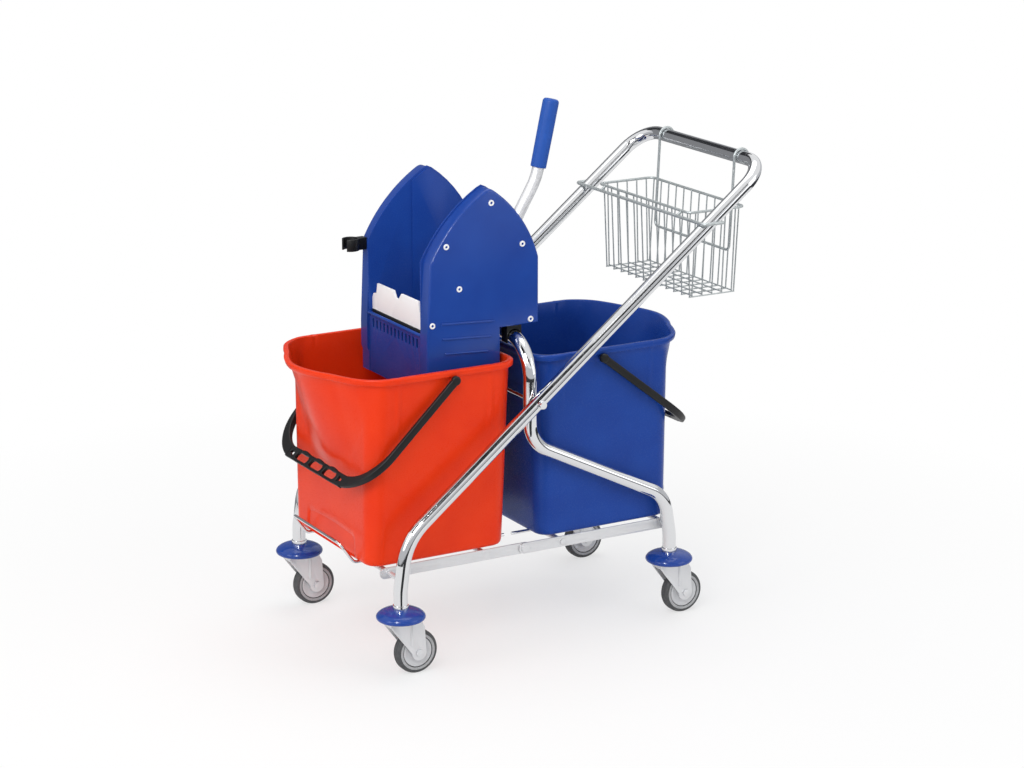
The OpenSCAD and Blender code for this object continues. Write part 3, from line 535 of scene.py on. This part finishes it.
def bail(name, turn, body, node, hang):
    """A bail hanging below level at its bucket's prow; turn is as for the bucket."""
    parts = [bail_grip()]
    for side in (-1, 1):
        arm = bmesh.new()
        bail_arm(arm, side)
        bmesh.ops.recalc_face_normals(arm, faces=arm.faces[:])
        out = Matrix.Rotation(math.radians(-90 * side), 4, "X")
        parts += [arm, turned(eye_profile, Matrix.Translation((0, side * bail_in, 0)) @ out, 40)]
    stretch = Matrix.Diagonal((1, bump_stretch, 1, 1))
    parts += [turned(finger_bump, Matrix.Translation((bump_x - bail_l, y, 0)) @ stretch, 32)
              for y in (-window_at, 0, window_at)]
    bm = merged(parts)
    at = Matrix.Translation((-peg_x, 0, bucket_z + peg_h)) @ Matrix.Rotation(math.radians(-hang), 4, "Y")
    bmesh.ops.transform(bm, matrix=to_metres @ Matrix.Diagonal((turn, 1, 1, 1)) @ at, verts=bm.verts[:])
    bmesh.ops.recalc_face_normals(bm, faces=bm.faces[:])
    return finish_piece(bm, name, black_nylon, body, [node], crisp=50)


bail("red_bail_strip", 1, "red_handle", "red_bail", 43.5)
bail("blue_bail_strip", -1, "blue_handle", "blue_bail", 38)

# %% [markdown]
# ## Wringer
# The press wringer's two side covers are pointed arches with well-rounded edges. Each one is a single
# face on the arch's outline, extruded to its depth and bevelled along its outer edge. Three raised
# lines run across it, and six screws with pale dished washers hold it.

# %% The covers
wringer_half = 130
cover_depth, cover_edge = 28, 4
raised_lines = [(-100, 601.3, 107), (-102, 574, 98), (-103, 547, 87)]
line_tilt, line_deep, line_high = 3.5, 4.6, 3.4


def arch_side(p, q, turn, steps=20):
    """Points of an arc from p to q that turns clockwise."""
    p, q = Vector(p), Vector(q)
    chord = q - p
    half = math.radians(turn / 2)
    r = chord.length / 2 / math.sin(half)
    centre = (p + q) / 2 + Vector((chord.y, -chord.x)).normalized() * r * math.cos(half)
    start = math.atan2(p.y - centre.y, p.x - centre.x)
    angles = [start - 2 * half * i / steps for i in range(steps + 1)]
    return [centre + r * Vector((math.cos(a), math.sin(a))) for a in angles]


def cover_outline():
    """The outline of a cover in the side plane."""
    heel = [Vector(p) for p in ((-178, 470), (-178, 506), (-181, 514), (-181, 560))]
    front = arch_side((-174, 712), (-65, 832.4), 32)
    crest = [Vector(p) for p in ((-60.5, 834.8), (-55.5, 836), (-50.5, 834.8))]
    rear = arch_side((-46, 832.4), (45, 704), 40)
    notch = [Vector(p) for p in ((45, 583), (-33.1, 583), (-33.1, 470))]
    return heel + front + crest + rear + notch


def cover(name, side, node):
    """One side cover; side is -1 for the near one and 1 for the far one."""
    bm = bmesh.new()
    inner = wringer_half - cover_depth
    face = bm.faces.new([bm.verts.new((p.x, side * inner, p.y)) for p in cover_outline()])
    made = bmesh.ops.extrude_face_region(bm, geom=[face], use_keep_orig=True)["geom"]
    moved = [v for v in made if isinstance(v, bmesh.types.BMVert)]
    bmesh.ops.translate(bm, verts=moved, vec=(0, side * cover_depth, 0))
    outer = [e for e in bm.edges if all(abs(abs(v.co.y) - wringer_half) < 0.01 for v in e.verts)]
    rounded(bm, outer, cover_edge, 5)
    for x, z, length in raised_lines:
        at = Matrix.Translation((x, side * wringer_half, z))
        tilt = Matrix.Rotation(math.radians(line_tilt), 4, "Y")
        size = Matrix.Diagonal((length, line_deep, line_high, 1))
        bar = bmesh.ops.create_cube(bm, size=1, matrix=at @ tilt @ size)
        rounded(bm, list({e for v in bar["verts"] for e in v.link_edges}), 1, 3)
    bmesh.ops.recalc_face_normals(bm, faces=bm.faces[:])
    bmesh.ops.transform(bm, matrix=to_metres, verts=bm.verts[:])
    return finish_piece(bm, name, blue_gloss, "wringer", [node], crisp=30)


cover("near_cover_moulding", -1, "cover_near")
cover("far_cover_moulding", 1, "cover_far")

# %% [markdown]
# A screw shows as a pale dished washer round a small blue head. One profile is spun for all twelve, and
# the faces near a screw's middle take the second material.

# %% The screws, spun as dished washers with a small head
screw_at = [(-52, 811), (-142, 742), (11, 731), (-116.5, 663.5), (-170.5, 603.5), (28, 592)]
washer_profile = [(0, 1.0), (1.6, 1.0), (1.9, 0.6), (2.2, 0.6), (2.6, 1.7), (3.6, 2.3), (4.8, 2.0),
                  (5.5, 0.6), (5.5, 0), (0, 0)]
head_r = 2.2
washers = []
for side in (-1, 1):
    out = Matrix.Rotation(math.radians(-90 * side), 4, "X")
    for x, z in screw_at:
        at = Matrix.Translation((x, side * wringer_half, z)) @ out
        washers.append(turned(washer_profile, to_metres @ at, 32))
bm = merged(washers)
for f in bm.faces:
    c = f.calc_center_median() / MM
    f.material_index = int(min(math.hypot(c.x - x, c.z - z) for x, z in screw_at) < head_r)
finish_piece(bm, "screw_washers", [white_polyethylene, blue_polypropylene], "wringer",
             ["cover_screws"])

# %% [markdown]
# The body between the covers, its jaws, saddles and clip keep their CAD shape. A merged copy of each
# gets its sharp edges rounded, as a moulding's edges are. The clip's root is drawn a little longer, so
# that it ends inside the cover's rounded edge.

# %% The wringer's inner parts
clip_root_x, clip_root_l = -179.5, 4
softened("wringer_body", blue_polypropylene, "wringer", 0.8)
softened("front_jaw", white_polyethylene, "wringer", 0.8)
softened("saddle_hooks", black_nylon, "wringer", 1.0)
clip = softened("mop_clip", black_nylon, "wringer", 0.8)
for v in clip.data.vertices:
    if v.co.x > clip_root_x * MM:
        v.co.x += clip_root_l * MM
softened("press_jaw", white_polyethylene, "press", 0.8)
dress(["press_arms", "shaft_bushes"], white_polyethylene)
dress(["press_shaft", "return_springs"], zinc_plate)
dress(["lever_tube"], lever_aluminium)

# %% [markdown]
# Under the white jaw, a thin black strip fills the gap against the sill. It is painted shade that stands
# for the gap's shadow. The strip is plain, with rounded edges.

# %% A strip of painted shade under the front jaw
# The black strip is painted shade: a dark sheet put in the gap under the jaw, where there is only shadow.
shade_strip_x, shade_strip_z, shade_strip_edge = -171.4, 570, 0.5
shade_strip_thick, shade_strip_wide, shade_strip_high = 1.6, 196, 34
bm = bmesh.new()
at = Matrix.Translation((shade_strip_x, 0, shade_strip_z)) @ Matrix.Diagonal((shade_strip_thick, shade_strip_wide, shade_strip_high, 1))
bmesh.ops.create_cube(bm, size=1, matrix=to_metres @ at)
rounded(bm, bm.edges[:], shade_strip_edge * MM, 2)
finish_piece(bm, "jaw_gap_shade_strip", black_nylon, "wringer")

# %% [markdown]
# The lever's grip is a plain soft sleeve with a rounded top. It is spun from its profile about Z and
# then laid along the lever's upper line.

# %% The lever's grip
bend, end = Vector((115, 0, 816)), Vector((145, 0, 951))
bare_l, bore_r, top_r, top_flat = 20, 11.1, 6, 9
up = (end - bend).normalized()
grip_l = (end - bend).length - bare_l
sleeve = [(bore_r, 0), (13.4, 0), (14.1, 0.3), (14.4, 1), (14.5, 3), (14.8, 50), (15, 90)]
top = [(top_flat + top_r * math.cos(math.radians(a)), grip_l + 2 + top_r * math.sin(math.radians(a)))
       for a in range(0, 91, 15)]
hollow = [(0, grip_l + 8), (0, grip_l - 2), (bore_r, grip_l - 2), (bore_r, 0)]
lay = Vector((0, 0, 1)).rotation_difference(up).to_matrix().to_4x4()
bm = turned(sleeve + top + hollow, to_metres @ Matrix.Translation(end - up * grip_l) @ lay, 48)
finish_piece(bm, "lever_sleeve", blue_vinyl, "press", ["lever_grip"])

# %% [markdown]
# ## Castors
# Each castor has a domed bumper disc, a pressed zinc fork, a pale hub and a grey tyre. The round parts
# are spun from their profiles. All four are alike, so each is made once per place.

# %% Places of the castors, and the bumper discs
castors = {"fn": (-278, -205, "front_near"), "ff": (-278, 205, "front_far"),
           "rn": (300, -177, "rear_near"), "rf": (300, 177, "rear_far")}
trail, axle_z, bumper_z = 28, 40, 104
dome = [(5.05, 19), (13, 19), (16, 18.8), (22, 18), (28, 16.8), (34, 14.8), (38.5, 12.4), (41.6, 9.8),
        (43.4, 7.4), (44, 5.2), (43.8, 3.4), (42.8, 1.6), (41.2, 0.5), (39.4, 0.6), (38, 3), (5.05, 4)]
discs = [turned(dome + dome[:1], to_metres @ Matrix.Translation((x, y, bumper_z)))
         for x, y, _ in castors.values()]
finish_piece(merged(discs), "bumper_domes", blue_gloss, "frame", ["bumper_discs"])

# %% [markdown]
# Half of the hub's and the tyre's profile is written down and mirrored. The tyre's flank is paler than
# its tread, so the faces outside the flank take a second rubber.

# %% Wheels
lie = Matrix.Rotation(math.pi / 2, 4, "X")
flank_from, flank_to = 28.8, 33.4
shoulder_r, shoulder_at, shoulder_h = 6, 34, 4.5
half_hub = [(4.1, 13.6), (8, 13.6), (9, 12.8), (9.6, 8.4), (11, 7.9), (22.5, 8.4), (24, 9.2), (26, 9.4),
            (27.4, 8.9)]
hub = half_hub + [(r, -h) for r, h in reversed(half_hub)] + half_hub[:1]
half_tyre = [(27.6, 9.2), (29, 9.9), (30, 10.4), (31, 10.45), (33.5, 10.1)]
half_tyre += [(shoulder_at + shoulder_r * math.sin(math.radians(a)),
               shoulder_h + shoulder_r * math.cos(math.radians(a))) for a in range(15, 91, 15)]
half_tyre += [(40, 3.2), (39.3, 2.9), (39.3, 2.2), (40, 1.9)]
tyre = half_tyre + [(r, -h) for r, h in reversed(half_tyre)] + half_tyre[:1]
for key, (x, y, word) in castors.items():
    at = to_metres @ Matrix.Translation((x + trail, y, axle_z)) @ lie
    finish_piece(turned(hub, at), "hub_disc_" + key, grey_hub_plastic, "wheel_" + word,
                 ["hub_" + key])
    bm = turned(tyre, at, 96)
    for f in bm.faces:
        c = f.calc_center_median() / MM
        f.material_index = int(not flank_from < math.hypot(c.x - x - trail, c.z - axle_z) < flank_to)
    finish_piece(bm, "tyre_ring_" + key, [tyre_rubber, tread_rubber], "wheel_" + word,
                 ["tyre_" + key])

# %% [markdown]
# Forks and axles keep their CAD shape. The forks are pressed from sheet, so a fine radius runs along
# their edges.

# %% Forks and axles
for key, (_, _, word) in castors.items():
    softened("fork_" + key, zinc_plate, "swivel_" + word, 0.6)
    softened("axle_" + key, zinc_plate, "swivel_" + word, 0.5)

# %% [markdown]
# ## Frame and basket
# The tubes, wires and rods already have their true round shape in CAD, so they only need their
# plating. The flat links get a slight edge radius, as sheared and tumbled bars have.

# %% Plate the frame and the basket
for name in ["link_front_near", "link_front_far", "link_rear_near", "link_rear_far"]:
    softened(name, zinc_plate, "frame", 0.5)
dress(["handle_frame", "arch_frame", "pivot_rod", "pivot_nuts", "retainer_front", "retainer_rear",
       "castor_stems"], chrome_plate)
dress(["basket_rim", "basket_hangers", "basket_support", "basket_front", "basket_rear",
       "basket_side_near", "basket_side_far", "basket_floor"], wire_plate)
dress(["link_rivets", "rod_front", "rod_front_inner", "rod_rear_inner", "rod_rear"], zinc_plate)
dress(["pivot_spacers"], black_nylon)

# %% [markdown]
# ## Studio
# The trolley stands against white. A wide white floor keeps the soft shadow, and fades to plain white
# away from the trolley. The world is white to the camera and to reflections, while it lights the
# trolley at a plainer level.

# %% Floor and world
floor_half = 14
fade_from, fade_to, glow_near, glow_far = 0.4, 1.5, 0.62, 1.0
world_light = 0.5


def stage_piece(bm, name, material):
    """A piece of the studio, which isn't part of the trolley."""
    mesh = bpy.data.meshes.new(name)
    bm.to_mesh(mesh)
    bm.free()
    mesh.materials.append(material)
    piece = bpy.data.objects.new(name, mesh)
    bpy.context.scene.collection.objects.link(piece)
    return piece


floor_paint, tree = new_tree("white_floor")
path = add(tree, "ShaderNodeLightPath")
place = add(tree, "ShaderNodeTexCoord")
away = add(tree, "ShaderNodeVectorMath", [(0, place, "Object")], operation="LENGTH")
fade = add(tree, "ShaderNodeMapRange", [("Value", away, "Value")],
           [("From Min", fade_from), ("From Max", fade_to), ("To Min", glow_near), ("To Max", glow_far)])
seen = add(tree, "ShaderNodeMath", [(0, path, "Is Camera Ray"), (1, path, "Is Glossy Ray")],
           operation="MAXIMUM")
share = add(tree, "ShaderNodeMath", [(0, seen, "Value"), (1, fade, "Result")], operation="MULTIPLY")
matt = add(tree, "ShaderNodeBsdfDiffuse", values=[("Color", linear("#F4F4F4"))])
glow = add(tree, "ShaderNodeEmission", values=[("Color", (1, 1, 1, 1)), ("Strength", 1.0)])
mixed = add(tree, "ShaderNodeMixShader", [(0, share, "Value"), (1, matt, "BSDF"), (2, glow, "Emission")])
add(tree, "ShaderNodeOutputMaterial", [("Surface", mixed, "Shader")])
bm = bmesh.new()
bmesh.ops.create_grid(bm, x_segments=1, y_segments=1, size=floor_half)
stage_piece(bm, "studio_floor", floor_paint)

world = bpy.data.worlds.new("studio")
bpy.context.scene.world = world
world.use_nodes = True
tree = world.node_tree
tree.nodes.clear()
path = add(tree, "ShaderNodeLightPath")
seen = add(tree, "ShaderNodeMath", [(0, path, "Is Camera Ray"), (1, path, "Is Glossy Ray")],
           operation="MAXIMUM")
clear = add(tree, "ShaderNodeMath", [(0, seen, "Value"), (1, path, "Is Transmission Ray")],
            operation="MAXIMUM")
soft = add(tree, "ShaderNodeBackground", values=[("Color", (1, 1, 1, 1)), ("Strength", world_light)])
white = add(tree, "ShaderNodeBackground", values=[("Color", (1, 1, 1, 1)), ("Strength", 1.0)])
both = add(tree, "ShaderNodeMixShader",
           [(0, clear, "Value"), (1, soft, "Background"), (2, white, "Background")])
add(tree, "ShaderNodeOutputWorld", [("Surface", both, "Shader")])
print("floor and world set")

# %% [markdown]
# Chrome has no colour of its own, so it looks round only where it mirrors something dark. A dark ring of
# floor and a pale wall go round the trolley. A black board over the near side draws one line along the
# near tube, and its outline makes that line wider towards the front. Behind the far side, a grey mat and
# a grey wall with a dark band on top shade the push bar. A dark wedge on the floor draws a streak down
# the near front leg. All these are seen in reflections alone, and they block no light.

# %% Dark surroundings for the chrome
ring_from, ring_to, ring_z, rim_wall_r, rim_wall_h = 1.9, 4.4, 0.002, 6, 2.4
board_z = 3.2
board_outline = [(-1.5, -0.2), (-1.06, -1.57), (-0.76, -3), (-0.37, -3.6), (2, -4.2), (2, -6.3),
                 (0.3, -6.3), (-1, -4.1), (-4, -4.1), (-4, -0.2)]
back_y, back_wide, back_wall_h, frieze_h = 4.5, 7, 3.5, 4.5
mat_y, mat_wide, mat_deep, mat_z = 2.75, 7, 3.5, 0.003
leg_foot = Vector((-0.278, -0.205, 0.003))
towards, across = Vector((-0.488, -0.873, 0)), Vector((0.873, -0.488, 0))
wedge_corners = [towards * 0.15, towards * 1.9 - across * 0.1, towards * 1.4 + across * 1.2]


def mirror_paint(name, colour):
    """A paint that looks the same from everywhere, for things seen in reflections."""
    material, tree = new_tree(name)
    flat = add(tree, "ShaderNodeEmission", values=[("Color", linear(colour)), ("Strength", 1.0)])
    add(tree, "ShaderNodeOutputMaterial", [("Surface", flat, "Emission")])
    return material


def flat_face(points):
    """A single face through points."""
    bm = bmesh.new()
    bmesh.ops.contextual_create(bm, geom=[bm.verts.new(p) for p in points])
    return bm


def flat_sheet(place, wide, deep):
    """A rectangle about the middle of a place."""
    bm = bmesh.new()
    bmesh.ops.create_grid(bm, x_segments=1, y_segments=1, size=0.5,
                          matrix=place @ Matrix.Diagonal((wide, deep, 1, 1)))
    return bm


def back_band(low, high):
    """An upright band behind the far side, between two heights."""
    upright = Matrix.Translation((0, back_y, (low + high) / 2)) @ Matrix.Rotation(math.pi / 2, 4, "X")
    return flat_sheet(upright, back_wide, high - low)


dark_paint = mirror_paint("dark_room_paint", "#3A3B3E")
grey_paint = mirror_paint("grey_wall_paint", "#8E8F92")
pale_paint = mirror_paint("pale_room_paint", "#CDCED1")
black_paint = mirror_paint("black_board_paint", "#232427")
ring, rim_wall = bmesh.new(), bmesh.new()
spun(ring, [(ring_from, ring_z), (ring_to, ring_z)], 48)
spun(rim_wall, [(ring_to, ring_z), (rim_wall_r, ring_z), (rim_wall_r, rim_wall_h)], 48)
board = flat_face([(x, y, board_z) for x, y in board_outline])
mat = flat_sheet(Matrix.Translation((0, mat_y, mat_z)), mat_wide, mat_deep)
wedge = flat_face([leg_foot + p for p in wedge_corners])
surroundings = [(ring, "dark_ring", dark_paint), (rim_wall, "pale_rim_wall", pale_paint),
                (board, "black_board", black_paint), (back_band(0, back_wall_h), "grey_wall", grey_paint),
                (back_band(back_wall_h, frieze_h), "dark_frieze", dark_paint),
                (mat, "grey_mat", grey_paint), (wedge, "dark_wedges", dark_paint)]
for bm, name, paint in surroundings:
    piece = stage_piece(bm, name, paint)
    piece.visible_camera = False
    piece.visible_diffuse = False
    piece.visible_transmission = False
    piece.visible_volume_scatter = False
    piece.visible_shadow = False
print("seen in reflections alone:", len(surroundings), "pieces")

# %% [markdown]
# Four softboxes light the trolley at a plain level: a key from the front left, a fill from the right, one
# from the top and a weak one on the front. A narrow strip draws a bright line along the covers' rounded
# edges. It lights no matt surface, so the colours stay as they are.

# %% Softboxes
trolley_middle, covers_middle = (0, 0, 0.4), (-0.1, -0.1, 0.7)


def softbox(name, spot, target, power, wide, high=None):
    """An area light that faces a target. It is square unless it has a height of its own."""
    light = bpy.data.lights.new(name, "AREA")
    light.size, light.energy = wide, power
    if high:
        light.shape, light.size_y = "RECTANGLE", high
    lamp = bpy.data.objects.new(name, light)
    lamp.location = spot
    lamp.rotation_euler = (Vector(target) - Vector(spot)).to_track_quat("-Z", "Y").to_euler()
    bpy.context.scene.collection.objects.link(lamp)
    return lamp


softbox("key_softbox", (-2.4, -2.4, 3.4), trolley_middle, 65, 2.0)
softbox("fill_softbox", (2.4, -3.0, 1.6), trolley_middle, 22, 2.2)
softbox("top_softbox", (0.4, 0.5, 3.6), trolley_middle, 40, 2.4)
softbox("front_softbox", (-3.6, -0.5, 1.9), trolley_middle, 24, 1.6)
strip = softbox("edge_strip", (-2.3, -2.0, 2.7), covers_middle, 70, 0.5, 1.4)
strip.visible_diffuse = False
print("lights set:", len(bpy.data.lights))

# %% [markdown]
# ## Camera
# The camera's place was found by fitting the trolley's corners to the photograph: it stands to the
# front left, a little above the buckets, with a long lens.

# %% Camera
camera_spot = (-2.4053, -4.3023, 1.8192)
camera_down, camera_turn, lens_mm = 15.595, -29.86, 98.2
eye = bpy.data.cameras.new("camera")
eye.sensor_width = 36
eye.lens = lens_mm
eye.clip_end = 50
camera = bpy.data.objects.new("camera", eye)
camera.location = camera_spot
camera.rotation_euler = (math.radians(90 - camera_down), 0, math.radians(camera_turn))
bpy.context.scene.collection.objects.link(camera)
bpy.context.scene.camera = camera
bpy.context.scene.view_settings.view_transform = "Standard"
